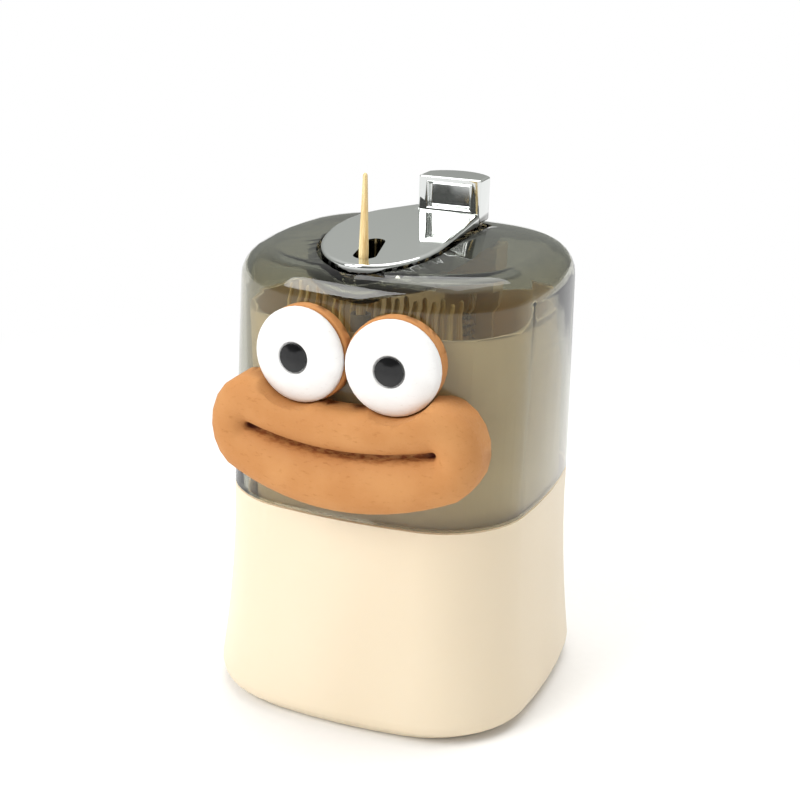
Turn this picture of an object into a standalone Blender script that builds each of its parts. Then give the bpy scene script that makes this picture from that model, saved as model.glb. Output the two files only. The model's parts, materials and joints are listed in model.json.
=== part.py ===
"""Press-top toothpick holder with a face on its lift-off cover.

Metres, +Z up.  The origin is the centre of the flat underside, and the face looks along -Y.
Pressing the button pushes a rod down.  The rod tips a lever under the floor of the tub, and the
lever's long end lifts a pin that pushes a toothpick up through the hole in the deck.
"""
import math

import bmesh
import bpy
from mathutils import Matrix, Vector

# Clearances
GAP = 0.0003                 # between pieces that touch
OVERRUN = 0.002              # how far a cutter reaches past what it cuts

# Casing, a square with rounded corners and slightly bulged sides
CASE_HALF = 0.0340           # half width at the seam between base and cover
CORNER_R = 0.0199            # corner radius at the seam
SIDE_BULGE = 0.0008          # how far a side's middle stands out past its ends
SEAM_GAP = 0.0004            # dark line between base and cover

# Base, a bell that widens downwards
BASE_WALL = 0.0024
BELL_FLARE = 0.0030          # how far the widest level stands out past the seam
BELL_Z = 0.0050              # height of the widest level
BELL_POWER = 1.8             # shape of the flare above the widest level
BELL_CORNER_R = 0.0226       # corner radius at the bottom
BELL_EDGE_ROUND = 0.0012     # rounding of the lower edge, inwards
FOOT_Z = 0.0017              # height of the bottom plate's visible rim
FOOT_INSET = 0.0018          # from the widest level in to that rim
FOOT_ROUND = 0.0024          # rounding of the rim, down to the flat underside
FOOT_PLATE = 0.0026          # thickness of the bottom plate

# Tub, a cup whose floor is raised to leave room for the lever
TUB_PLAY = 0.0004            # between the tub and the base's wall
TUB_WALL = 0.0016
TUB_CORNER_R = 0.0210        # clears the cover's corners at the rim
TUB_FLOOR = 0.0016           # thickness of the floor

# Toothpicks, whose length sets the height of the tub and cover
PICK_R = 0.00105
PICK_TIP_R = 0.00050
PICK_LENGTH = 0.0650
PICK_TAPER = 0.0150
PICK_END_SHARE = 0.6         # radius of the blunt end's flat to that of the tip
PICK_SIDES = 8
PICK_PROUD = 0.0040          # how far standing toothpicks reach past the tub's rim
HEAD_ROOM = 0.0086           # from their tips up to the cover's flat top

# Cover, a clear hood over the tub
COVER_WALL = 0.0020
COVER_DRAFT = 0.0002         # how much narrower it is just under the top rounding
COVER_TOP_CORNER_R = 0.0238
COVER_FILLET = 0.0070        # top rounding
COVER_CROWN = 0.0018         # rise of the top's middle
COVER_HEIGHT = 0.0519        # from the seam up to its flat top

# Rod, bracket and return spring
POST_CLEAR = 0.0071          # from the tub's back wall to the bracket's post
POST_THICK = 0.0020
ROD_X = 0.0086
ROD_REACH = 0.0050           # from the back of the post to the rod's axis
ROD_R = 0.0010
ROD_SOCKET = 0.0030          # how far the rod goes into the button
SLIDE_PLAY = 0.0003          # between a sliding pin and its hole
BLOCK_LEFT_REACH = 0.0078    # from the rod's axis to the sides of the guide block
BLOCK_RIGHT_REACH = 0.0056
BLOCK_FRONT_REACH = 0.0030
BLOCK_HEIGHT = 0.0069
SHELF_REACH = 0.0035         # from the rod's axis to the front of the spring's shelf
SHELF_THICK = 0.0016
BRACKET_FOOT_REACH = 0.0065
BRACKET_FOOT_THICK = 0.0020
CLIP_DROP = 0.0089           # from the guide block down to the clip on the rod
CLIP_R = 0.0022
CLIP_THICK = 0.0008
CLIP_GROOVE = 0.0002         # between the clip's bore and the rod
SPRING_ROOM = 0.0175         # from the shelf to the top of the clip
SPRING_WIRE = 0.0006
SPRING_R = 0.00185           # radius to the middle of the wire
SPRING_TURNS = 8
SPRING_POINTS = 10           # points in a turn

# Button, placed from the rod's axis
PRESS = 0.0050               # travel of the button
BUTTON_RISE = 0.0021         # from the cover's flat top up to the button's underside
BUTTON_HEIGHT = 0.0096
BUTTON_LEFT_REACH = 0.0123
BUTTON_RIGHT_REACH = 0.0021
BUTTON_FRONT_REACH = 0.0050
BUTTON_SIDE_REACH = 0.0011   # to where the sides meet the curved back
BUTTON_BACK_REACH = 0.0049   # to the middle of the curved back
BUTTON_EDGE = 0.0005         # rounding of its edges
BUTTON_PLAY = 0.0006         # between the button and the deck
BUTTON_CLEAR = 0.0014        # left over the guide block when pressed
WINDOW_LEFT_RIM = 0.0024     # frame round the window in the front
WINDOW_RIGHT_RIM = 0.0026
WINDOW_SILL = 0.0030
WINDOW_HEAD = 0.0014
WINDOW_DEPTH = 0.0013

# Guide tube and the toothpick that stands out of the outlet
OUT_X = -0.0009
OUT_CLEAR = 0.0055           # from the tub's front wall to the toothpick's axis
OUT_PROUD = 0.0147           # from the deck's level up to its tip
GUIDE_R = 0.0021
GUIDE_BORE_R = 0.00145
GUIDE_PROUD = 0.0024         # how far the tube reaches past the tub's rim
GUIDE_FOOT_R = 0.0040
GUIDE_FOOT = 0.0014
GUIDE_SLOT = 0.0026          # width of the slot that lets a toothpick in
GUIDE_HEAD = 0.0134          # closed length of the tube above the slot
STOCK_REACH = 0.0099         # from the guide tube's axis back to the first row
STOCK_ROWS = 2
STOCK_ROW_PITCH = 0.0044
STOCK_COUNT = 10             # toothpicks in a row
STOCK_PITCH = 0.0040
STOCK_CLEAR = 0.0076         # from the tub's left wall to the first toothpick
STOCK_LEAN = math.radians(1.5)

# Deck, the tilted drop-shaped plate in the cover's top, with a bowl under it
DECK_RISE = 0.0032           # height of its face over the cover's flat top, at the middle
DECK_SLOPE = 0.08            # rise of the plate towards the back
DROP_X = -0.0021             # centre of the drop's round end
DROP_REACH = 0.0161          # from the toothpick's axis back to that centre
DROP_A = 0.0132              # half width
DROP_B = 0.0218              # half length
DROP_TURN = math.radians(7)  # the drop's long axis leans to the left at the back
DROP_ROUND = 0.0010          # least radius in the outline
DECK_RIM_ROUND = 0.0007      # rounding of the bright rim
DECK_PLATE = 0.0018          # thickness of the plate
DECK_SKIRT = 0.0016          # thickness of the wall under the rim
FLANGE = 0.0026              # how far the bowl stands out past the rim
FLANGE_DEPTH = 0.0012        # thickness of the bowl's edge
BOWL_TAIL = 0.0002           # depth of the bowl's side at its shallow tail
BOWL_WALL = 0.0016
BOWL_POWER = 1.7             # roundness of the bowl's side
KEEL_X = -0.0030             # centre of the bowl's lower edge at the front
KEEL_REACH = 0.0101          # from the toothpick's axis back to that centre
KEEL_A = 0.0073
KEEL_B = 0.0143
KEEL_TAIL_SHIFT = 0.0051     # round tail of the lower edge, left of and in front of the rod
KEEL_TAIL_REACH = 0.0055
KEEL_TAIL_R = 0.0053
HOLE_PLAY = 0.0009           # between the rim and the hole in the cover
SLOT_FRONT_SHIFT = 0.0001    # the outlet is a slot with round ends, set from the toothpick's axis
SLOT_FRONT_REACH = 0.0009
SLOT_FRONT_R = 0.0024
SLOT_BACK_SHIFT = 0.0018
SLOT_BACK_REACH = 0.0105
SLOT_BACK_R = 0.0020
CHUTE_WALL = 0.0012          # wall of the outlet under the plate
CHUTE_PROUD = 0.0005         # how far that wall reaches below the bowl

# Lever and lifter
PIVOT_ARM = 0.0111           # from the rod's axis to the pivot, along Y
PIVOT_PIN_R = 0.0010
HUB_R = 0.0026
HUB_HALF = 0.0042            # half length of the hub
EAR_THICK = 0.0020           # posts that hold the pivot pin
EAR_HALF = 0.0032            # half width of a post
LEVER_THICK = 0.0016
LEVER_PAD_R = 0.0035
LEVER_WAIST_R = 0.0022
LEVER_CLEAR = 0.0019         # left over the bottom plate by the lever's lowest end
LIFT_PIN_R = 0.0011
LIFT_FOOT_R = 0.0030
LIFT_FOOT = 0.0010
LIFT_PROUD = 0.0008          # how far the resting lifter stands over the tub's floor
LIFT_CLEAR = 0.0014          # left under the floor when the lifter is up

# Face on the cover's front
EYES_X = 0.0012              # the face was glued on slightly to the right
EYE_HALF = 0.00985           # from the face's middle to an eye's middle
EYE_DROP = 0.0167            # from the cover's flat top down to the eyes' middle
EYE_TURN = math.radians(5)   # each eye follows the bulged front
FACE_SINK = 0.0040           # flat back of the face pieces, inside the casing's front
DISC_R = 0.0099
DISC_SHIFT = 0.0003          # discs sit slightly towards the middle
DISC_PROUD = 0.0017          # front of the discs, past the casing's front
DISC_EDGE = 0.0005           # rounding of the discs' edges
EYE_EDGE = 0.0011            # height of the eye's straight edge
EYE_DOME = 0.0024            # rise of the dome above the edge
EYE_BACK_INSET = 0.0003      # chamfer of the eye's back edge
PUPIL_R = 0.0029
PUPIL_PIT_R = 0.0033
PUPIL_PIT = 0.0009
PUPIL_THICK = 0.0007
PUPIL_DOME = 0.0004
PUPIL_DOME_SHARE = 0.8       # rise of the dome at half radius to that at its middle
LIPS_X = 0.0005
LIPS_DROP = 0.0182           # from the eyes' middle down to the smile line
LIPS_SAG = 0.0022            # rise of the smile line's ends
LIPS_HALF = 0.0200           # half length of the smile line
LIPS_UP = 0.0088             # from the smile line to the upper edge, at the middle
LIPS_UP_END = 0.0104         # and at the ends
LIPS_DOWN = 0.0125           # to the lower edge, at the middle
LIPS_DOWN_END = 0.0107
LIPS_OUT = 0.0092            # to the outer edge past the smile line's ends
LIPS_EDGE_PROUD = 0.0049     # front of the straight side wall, past the casing's front
LIPS_CREST_PROUD = 0.0087
LIPS_GROOVE_PROUD = 0.0046
LIPS_GROOVE_SHARE = 0.04     # half width of the groove's floor to the lips' reach
LIPS_CREST_SHARE = 0.54      # from the smile line to the crest, likewise
LIPS_BEND = 0.0034           # how far the ends are swept back

# Smoothness
SIDE_STEPS = 4
CORNER_STEPS = 9
ROUND_STEPS = 6
SMILE_STEPS = 12
LIPS_END_STEPS = 10
DROP_STEPS = 60
TURN_STEPS = 40
SMALL_TURN_STEPS = 20
SMOOTH_ANGLE = math.radians(35)
EDGE_ANGLE = math.radians(50)

# Widths and places that follow from the casing
BELL_HALF = CASE_HALF + BELL_FLARE
FOOT_HALF = BELL_HALF - FOOT_INSET
COVER_TOP_HALF = CASE_HALF - COVER_DRAFT
TUB_HALF = CASE_HALF - BASE_WALL - TUB_PLAY
TUB_INNER = TUB_HALF - TUB_WALL
POST_BACK = TUB_INNER - POST_CLEAR
ROD_Y = POST_BACK - ROD_REACH
OUT_Y = OUT_CLEAR - TUB_INNER
DROP_Y = OUT_Y + DROP_REACH
BUTTON_LEFT = ROD_X - BUTTON_LEFT_REACH
BUTTON_RIGHT = ROD_X + BUTTON_RIGHT_REACH
BUTTON_FRONT = ROD_Y - BUTTON_FRONT_REACH
BLOCK_LEFT = ROD_X - BLOCK_LEFT_REACH
BLOCK_RIGHT = ROD_X + BLOCK_RIGHT_REACH
FACE_BACK_Y = FACE_SINK - CASE_HALF
DISC_FRONT_Y = -CASE_HALF - DISC_PROUD
LIPS_EDGE_Y = -CASE_HALF - LIPS_EDGE_PROUD
LIPS_CREST_Y = -CASE_HALF - LIPS_CREST_PROUD
LIPS_GROOVE_Y = -CASE_HALF - LIPS_GROOVE_PROUD
EYE_R = EYE_HALF - GAP / 2

# The lever, whose swing sets how high the tub's floor is
PIVOT_Y = ROD_Y - PIVOT_ARM
PIVOT_X = ROD_X + (OUT_X - ROD_X) * PIVOT_ARM / (ROD_Y - OUT_Y)
LIFT_ARM = PIVOT_Y - OUT_Y
LEVER_SWING = math.asin(PRESS / PIVOT_ARM / 2) * 2
LIFT_DROP = LIFT_ARM * math.sin(LEVER_SWING / 2)
PAD_DROP = LEVER_PAD_R * math.sin(LEVER_SWING / 2) + LEVER_THICK / 2
PIVOT_Z = FOOT_PLATE + LEVER_CLEAR + LIFT_DROP + PAD_DROP
TUB_FLOOR_Z = PIVOT_Z + LIFT_DROP + LEVER_THICK + GAP + LIFT_FOOT + LIFT_CLEAR
FLOOR_TOP_Z = TUB_FLOOR_Z + TUB_FLOOR
LIFT_TOP_Z = FLOOR_TOP_Z + LIFT_PROUD

# Heights that follow from the length of the toothpicks
PICK_TOP_Z = FLOOR_TOP_Z + GAP + PICK_LENGTH
TUB_RIM_Z = PICK_TOP_Z - PICK_PROUD
GUIDE_TOP_Z = TUB_RIM_Z + GUIDE_PROUD
COVER_EDGE_Z = PICK_TOP_Z + HEAD_ROOM
SEAM_Z = COVER_EDGE_Z - COVER_HEIGHT
COVER_LOW_Z = SEAM_Z + SEAM_GAP
DECK_Z = COVER_EDGE_Z + DECK_RISE
DECK_TILT = math.atan(DECK_SLOPE)
OUT_TOP_Z = DECK_Z + OUT_PROUD
BOWL_TOP_Z = COVER_EDGE_Z - COVER_WALL - GAP - FLANGE_DEPTH
TAIL_Y = ROD_Y - KEEL_TAIL_REACH + KEEL_TAIL_R
BOWL_DEPTH = (DECK_Z + DECK_SLOPE * TAIL_Y - BOWL_TOP_Z + BOWL_TAIL) * math.cos(DECK_TILT)
BUTTON_BOTTOM_Z = COVER_EDGE_Z + BUTTON_RISE
BUTTON_TOP_Z = BUTTON_BOTTOM_Z + BUTTON_HEIGHT
BLOCK_HIGH_Z = BUTTON_BOTTOM_Z - PRESS - BUTTON_CLEAR
BLOCK_LOW_Z = BLOCK_HIGH_Z - BLOCK_HEIGHT
CLIP_Z = BLOCK_LOW_Z - CLIP_DROP
SPRING_LOW_Z = CLIP_Z - SPRING_ROOM
SPRING_HIGH_Z = CLIP_Z - CLIP_THICK
EYE_Z = COVER_EDGE_Z - EYE_DROP
LIPS_Z = EYE_Z - LIPS_DROP


def clear_scene():
    for item in list(bpy.data.objects):
        bpy.data.objects.remove(item, do_unlink=True)


def new_collection(name):
    group = bpy.data.collections.new(name)
    bpy.context.scene.collection.children.link(group)
    return group


def material(name, colour, roughness, metallic=0.0, transmission=0.0):
    made = bpy.data.materials.new(name)
    made.use_nodes = True
    shader = made.node_tree.nodes["Principled BSDF"]
    shader.inputs["Base Color"].default_value = (*colour, 1.0)
    shader.inputs["Roughness"].default_value = roughness
    shader.inputs["Metallic"].default_value = metallic
    shader.inputs["Transmission Weight"].default_value = transmission
    made.diffuse_color = (*colour, 1.0)
    return made


def put_in(item, group):
    for old in list(item.users_collection):
        old.objects.unlink(item)
    group.objects.link(item)


def finish_piece(item, name, look):
    item.name = name
    item.data.name = name
    item.data.materials.clear()
    item.data.materials.append(look)
    put_in(item, PARTS)
    return item


def smooth(item):
    item.data.shade_smooth()
    item.data.set_sharp_from_angle(angle=SMOOTH_ANGLE)
    return item


def mesh_object(name, mesh_maker):
    data = bpy.data.meshes.new(name)
    bmesh.ops.recalc_face_normals(mesh_maker, faces=mesh_maker.faces)
    mesh_maker.to_mesh(data)
    mesh_maker.free()
    item = bpy.data.objects.new(name, data)
    bpy.context.scene.collection.objects.link(item)
    return item


def loft(name, rings):
    """A closed body through rings of equally many points, flat at both ends."""
    maker = bmesh.new()
    loops = [[maker.verts.new(point) for point in ring] for ring in rings]
    count = len(loops[0])
    for low, high in zip(loops, loops[1:]):
        for i in range(count):
            j = (i + 1) % count
            maker.faces.new((low[i], low[j], high[j], high[i]))
    maker.faces.new(list(reversed(loops[0])))
    maker.faces.new(loops[-1])
    return mesh_object(name, maker)


def cylinder(name, radius, low, high, x=0.0, y=0.0, steps=SMALL_TURN_STEPS):
    bpy.ops.mesh.primitive_cylinder_add(vertices=steps, radius=radius, depth=high - low,
                                        location=(x, y, (low + high) / 2))
    item = bpy.context.object
    item.name = name
    return smooth(item)


def box(name, low, high):
    """A box between two corners, with its scale applied."""
    bpy.ops.mesh.primitive_cube_add(size=1.0)
    item = bpy.context.object
    item.name = name
    size = Vector(high) - Vector(low)
    middle = (Vector(high) + Vector(low)) / 2
    item.data.transform(Matrix.Translation(middle) @ Matrix.Diagonal((*size, 1.0)))
    return item


def turned(name, profile, steps=TURN_STEPS):
    """A turned body from (radius, height) points, run from the top down its outer side."""
    data = bpy.data.meshes.new(name)
    edges = [(i, i + 1) for i in range(len(profile) - 1)]
    data.from_pydata([(radius, 0.0, height) for radius, height in profile], edges, [])
    item = bpy.data.objects.new(name, data)
    bpy.context.scene.collection.objects.link(item)
    screw = item.modifiers.new("Turn", "SCREW")
    screw.steps = steps
    screw.render_steps = steps
    screw.use_merge_vertices = True
    screw.merge_threshold = GAP / 10
    screw.use_smooth_shade = True
    return item


def cut(target, tool, operation="DIFFERENCE"):
    change = target.modifiers.new(tool.name, "BOOLEAN")
    change.operation = operation
    change.solver = "EXACT"
    change.object = tool
    put_in(tool, CUTTERS)
    tool.hide_render = True
    tool.display_type = "WIRE"
    return target


def bevel(item, width, segments=3, angle=SMOOTH_ANGLE):
    change = item.modifiers.new("Edges", "BEVEL")
    change.width = width
    change.segments = segments
    change.limit_method = "ANGLE"
    change.angle_limit = angle
    return item


def parented(item, parent):
    """Hang a piece on an empty without moving it."""
    item.parent = parent
    item.matrix_parent_inverse = parent.matrix_world.inverted()
    return item


def joint_empty(name, place, turn=(0.0, 0.0, 0.0)):
    empty = bpy.data.objects.new(name, None)
    empty.location = place
    empty.rotation_euler = turn
    PARTS.objects.link(empty)
    bpy.context.view_layer.update()
    return empty


def square(half, radius, z, inset=0.0):
    """A rounded square with bulged sides, at height z, moved inwards by inset."""
    flat = half - radius
    corner = flat - SIDE_BULGE
    arc = (corner ** 2 + SIDE_BULGE ** 2) / (2 * SIDE_BULGE)
    span = math.asin(corner / arc)
    round_r = radius - inset
    points = []
    for quarter in range(4):
        turn = Matrix.Rotation(quarter * math.pi / 2, 3, "Z")
        for i in range(SIDE_STEPS + 1):
            angle = span * (2 * i / SIDE_STEPS - 1)
            out = arc + round_r
            points.append(turn @ Vector((flat - arc + out * math.cos(angle), out * math.sin(angle), z)))
        for i in range(1, CORNER_STEPS):
            angle = span + (math.pi / 2 - 2 * span) * i / CORNER_STEPS
            x = corner + round_r * math.cos(angle)
            y = corner + round_r * math.sin(angle)
            points.append(turn @ Vector((x, y, z)))
    return points


def base_level(z):
    """Half width and corner radius of the base at height z above its widest level."""
    rise = (z - BELL_Z) / (SEAM_Z - BELL_Z)
    half = CASE_HALF + (BELL_HALF - CASE_HALF) * (1 - rise) ** BELL_POWER
    corner = CORNER_R + (BELL_CORNER_R - CORNER_R) * (1 - rise)
    return half, corner


def make_base_shell():
    low = FOOT_Z + GAP
    inner = []
    outer = []
    for i in range(ROUND_STEPS + 1):
        z = SEAM_Z - (SEAM_Z - BELL_Z) * (i / ROUND_STEPS)
        half, corner = base_level(z)
        inner.append(square(half, corner, z, BASE_WALL))
        outer.append(square(half, corner, z))
    inner.append(square(BELL_HALF, BELL_CORNER_R, low, BASE_WALL))
    for i in range(1, ROUND_STEPS):
        angle = math.pi / 2 * i / ROUND_STEPS
        inset = BELL_EDGE_ROUND * (1 - math.cos(angle))
        outer.append(square(BELL_HALF, BELL_CORNER_R, BELL_Z - (BELL_Z - low) * math.sin(angle), inset))
    outer.append(square(BELL_HALF, BELL_CORNER_R, low, BELL_EDGE_ROUND))
    item = loft_ring("base_shell", inner, outer)
    return finish_piece(smooth(item), "base_shell", CREAM)


def loft_ring(name, inner, outer):
    """A closed wall between two lofts that share their first and last levels."""
    maker = bmesh.new()
    rings = inner + list(reversed(outer))
    loops = [[maker.verts.new(point) for point in ring] for ring in rings]
    count = len(loops[0])
    for low, high in zip(loops, loops[1:] + loops[:1]):
        for i in range(count):
            j = (i + 1) % count
            maker.faces.new((low[i], low[j], high[j], high[i]))
    return mesh_object(name, maker)


def make_base_bottom():
    """Bottom plate with a rounded rim, and two ears that hold the lever's pin."""
    rings = []
    for i in range(ROUND_STEPS + 1):
        angle = math.pi / 2 * i / ROUND_STEPS
        inset = FOOT_ROUND * (1 - math.sin(angle))
        rings.append(square(FOOT_HALF, BELL_CORNER_R, FOOT_Z * (1 - math.cos(angle)), inset))
    spigot = BELL_HALF - BASE_WALL - GAP
    corner = BELL_CORNER_R - BASE_WALL - GAP
    rings.append(square(spigot, corner, FOOT_Z))
    rings.append(square(spigot, corner, FOOT_PLATE))
    item = loft("base_bottom", rings)
    for side in (-1, 1):
        near = PIVOT_X + side * (HUB_HALF + GAP)
        far = near + side * EAR_THICK
        ear = box("ear_" + ("left" if side < 0 else "right"),
                  (min(near, far), PIVOT_Y - EAR_HALF, FOOT_PLATE / 2),
                  (max(near, far), PIVOT_Y + EAR_HALF, PIVOT_Z + EAR_HALF))
        cut(item, ear, "UNION")
    hole = cylinder("lever_pin_hole", PIVOT_PIN_R + GAP, -HUB_HALF - EAR_THICK - OVERRUN,
                    HUB_HALF + EAR_THICK + OVERRUN)
    lay_along_x(hole, PIVOT_X, PIVOT_Y, PIVOT_Z)
    cut(item, hole)
    return finish_piece(smooth(item), "base_bottom", CREAM)


def lay_along_x(item, x, y, z):
    """Turn an upright piece centred on the origin so that it lies along X at a place."""
    item.data.transform(Matrix.Rotation(math.pi / 2, 4, "Y"))
    item.location = (x, y, z)
    return item


def make_lever_pin():
    half = HUB_HALF + GAP + EAR_THICK
    item = cylinder("lever_pin", PIVOT_PIN_R, -half, half)
    lay_along_x(item, PIVOT_X, PIVOT_Y, PIVOT_Z)
    return finish_piece(item, "lever_pin", STEEL)


def make_tub():
    """An open cup with straight walls and a raised floor."""
    low = FOOT_PLATE + GAP
    item = loft("tub", [square(TUB_HALF, TUB_CORNER_R, z) for z in (low, TUB_RIM_Z)])
    stock = loft("tub_inside", [square(TUB_HALF, TUB_CORNER_R, FLOOR_TOP_Z, TUB_WALL),
                                square(TUB_HALF, TUB_CORNER_R, TUB_RIM_Z + OVERRUN, TUB_WALL)])
    works = loft("tub_underside", [square(TUB_HALF, TUB_CORNER_R, low - OVERRUN, TUB_WALL),
                                   square(TUB_HALF, TUB_CORNER_R, TUB_FLOOR_Z, TUB_WALL)])
    cut(item, stock)
    cut(item, works)
    low_z = TUB_FLOOR_Z - OVERRUN
    high_z = FLOOR_TOP_Z + OVERRUN
    cut(item, cylinder("lifter_hole", LIFT_PIN_R + SLIDE_PLAY, low_z, high_z, OUT_X, OUT_Y))
    cut(item, cylinder("rod_hole", ROD_R + SLIDE_PLAY, low_z, high_z, ROD_X, ROD_Y))
    return finish_piece(smooth(item), "tub", TUB_CREAM)


def cover_rings(inset=0.0, low=COVER_LOW_Z):
    """Rings of the cover's outer face, or of a face inset from it, from the bottom up."""
    rings = []
    edge_half = COVER_TOP_HALF - COVER_FILLET
    turn_z = COVER_EDGE_Z - COVER_FILLET
    for z in (low, turn_z):
        rise = (z - COVER_LOW_Z) / (turn_z - COVER_LOW_Z)
        half = CASE_HALF + (COVER_TOP_HALF - CASE_HALF) * rise
        corner = CORNER_R + (COVER_TOP_CORNER_R - CORNER_R) * rise
        rings.append(square(half, corner, z, inset))
    for i in range(1, ROUND_STEPS + 1):
        angle = math.pi / 2 * i / ROUND_STEPS
        out = COVER_FILLET - (COVER_FILLET - inset) * math.cos(angle)
        z = turn_z + (COVER_FILLET - inset) * math.sin(angle)
        rings.append(square(COVER_TOP_HALF, COVER_TOP_CORNER_R, z, out))
    top = square(COVER_TOP_HALF, COVER_TOP_CORNER_R, COVER_EDGE_Z - inset, COVER_FILLET)
    for i in range(1, ROUND_STEPS):
        share = 1 - i / ROUND_STEPS
        rise = COVER_CROWN * (1 - share ** 2)
        rings.append([Vector((p.x * share, p.y * share, p.z + rise)) for p in top])
    return rings


def grown_cover():
    """The cover's outer form grown by a gap, to cut the backs of the face pieces."""
    return loft("cover_form", cover_rings(-GAP, SEAM_Z - OVERRUN))


def make_cover():
    inner = cover_rings(COVER_WALL)
    outer = cover_rings()
    item = loft("cover_shell", list(reversed(inner)) + outer)
    hole = deck_prism("cover_hole", HOLE_PLAY, -COVER_FILLET, COVER_FILLET)
    cut(item, hole)
    return finish_piece(smooth(item), "cover_shell", SMOKE)


def button_points(inset=0.0):
    """Corners and curved back of the button's footprint, moved inwards by inset."""
    left = BUTTON_LEFT + inset
    right = BUTTON_RIGHT - inset
    half = (BUTTON_RIGHT - BUTTON_LEFT) / 2
    middle = (BUTTON_RIGHT + BUTTON_LEFT) / 2
    bow = BUTTON_BACK_REACH - BUTTON_SIDE_REACH
    arc = (half ** 2 + bow ** 2) / (2 * bow)
    centre_y = ROD_Y + BUTTON_BACK_REACH - arc
    reach = math.asin((half - inset) / (arc - inset))
    points = [(left, BUTTON_FRONT + inset), (right, BUTTON_FRONT + inset)]
    steps = 2 * ROUND_STEPS
    for i in range(steps + 1):
        angle = reach * (1 - 2 * i / steps)
        points.append((middle + (arc - inset) * math.sin(angle), centre_y + (arc - inset) * math.cos(angle)))
    return points


def hull_ring(ellipse, core, grow, z):
    """A convex outline round an ellipse and some points, grown outwards, at height z.

    The ellipse is (centre x, centre y, half width, half length, turn)."""
    cx, cy, half_a, half_b, turn = ellipse
    ring = []
    for i in range(DROP_STEPS):
        angle = 2 * math.pi * i / DROP_STEPS
        nx = math.cos(angle)
        ny = math.sin(angle)
        along = nx * math.cos(turn) + ny * math.sin(turn)
        across = -nx * math.sin(turn) + ny * math.cos(turn)
        reach = math.hypot(half_a * along, half_b * across)
        ex = half_a ** 2 * along / reach
        ey = half_b ** 2 * across / reach
        x = cx + ex * math.cos(turn) - ey * math.sin(turn)
        y = cy + ex * math.sin(turn) + ey * math.cos(turn)
        best = max([(x, y)] + core, key=lambda p: p[0] * nx + p[1] * ny)
        ring.append(Vector((best[0] + grow * nx, best[1] + grow * ny, z)))
    return ring


def drop_ring(grow, z):
    """The deck's drop round its ellipse and the button, grown outwards, at local height z."""
    trim = DROP_ROUND + max(0.0, -grow)
    ellipse = (DROP_X, DROP_Y, DROP_A - trim, DROP_B - trim, DROP_TURN)
    return hull_ring(ellipse, button_points(trim), DROP_ROUND + max(0.0, grow), z)


def keel_ring(grow, z):
    """The bowl's lower edge, grown outwards, at local height z."""
    trim = KEEL_TAIL_R + grow
    ellipse = (KEEL_X, OUT_Y + KEEL_REACH, KEEL_A - KEEL_TAIL_R, KEEL_B - KEEL_TAIL_R, 0.0)
    return hull_ring(ellipse, [(ROD_X - KEEL_TAIL_SHIFT, ROD_Y - KEEL_TAIL_REACH)], trim, z)


def on_deck(ring):
    """A ring from the deck's own frame, in world places."""
    place = Matrix.Translation((0.0, 0.0, DECK_Z)) @ Matrix.Rotation(DECK_TILT, 4, "X")
    return [place @ point for point in ring]


def drop_level(grow, z):
    """Where the deck's tilted outline, grown outwards, crosses world height z."""
    ring = []
    for point in drop_ring(grow, 0.0):
        depth = (z - DECK_Z - point.y * math.sin(DECK_TILT)) / math.cos(DECK_TILT)
        y = point.y * math.cos(DECK_TILT) - depth * math.sin(DECK_TILT)
        ring.append(Vector((point.x, y, z)))
    return ring


def rounded_in(top, low):
    """Rings from a wide top one, rounding in to a narrow low one."""
    rings = []
    for i in range(ROUND_STEPS + 1):
        share = i / ROUND_STEPS
        ring = [a.lerp(b, share ** BOWL_POWER) for a, b in zip(top, low)]
        for point, a, b in zip(ring, top, low):
            point.z = a.z + (b.z - a.z) * share
        rings.append(ring)
    return rings


def tilt_to_deck(item):
    item.rotation_euler = (DECK_TILT, 0.0, 0.0)
    item.location = (0.0, 0.0, DECK_Z)
    return item


def deck_prism(name, grow, low, high):
    """A drop-shaped prism between two heights over the deck's face."""
    return tilt_to_deck(loft(name, [drop_ring(grow, low), drop_ring(grow, high)]))


def button_prism(name, grow, low, high):
    """An upright prism over the button's footprint, between two world heights."""
    rings = [[Vector((x, y, z)) for x, y in button_points(-grow)] for z in (low, high)]
    return loft(name, rings)


def slot_ring(z, grow=0.0):
    """The outlet slot, two round ends joined by straight sides."""
    front = Vector((OUT_X - SLOT_FRONT_SHIFT, OUT_Y + SLOT_FRONT_REACH, z))
    back = Vector((OUT_X - SLOT_BACK_SHIFT, OUT_Y + SLOT_BACK_REACH, z))
    heading = math.atan2(back.y - front.y, back.x - front.x)
    ring = []
    steps = SMALL_TURN_STEPS // 2
    for centre, radius, start in ((back, SLOT_BACK_R, heading - math.pi / 2),
                                  (front, SLOT_FRONT_R, heading + math.pi / 2)):
        for i in range(steps + 1):
            angle = start + math.pi * i / steps
            ring.append(centre + (radius + grow) * Vector((math.cos(angle), math.sin(angle), 0.0)))
    return ring


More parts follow.
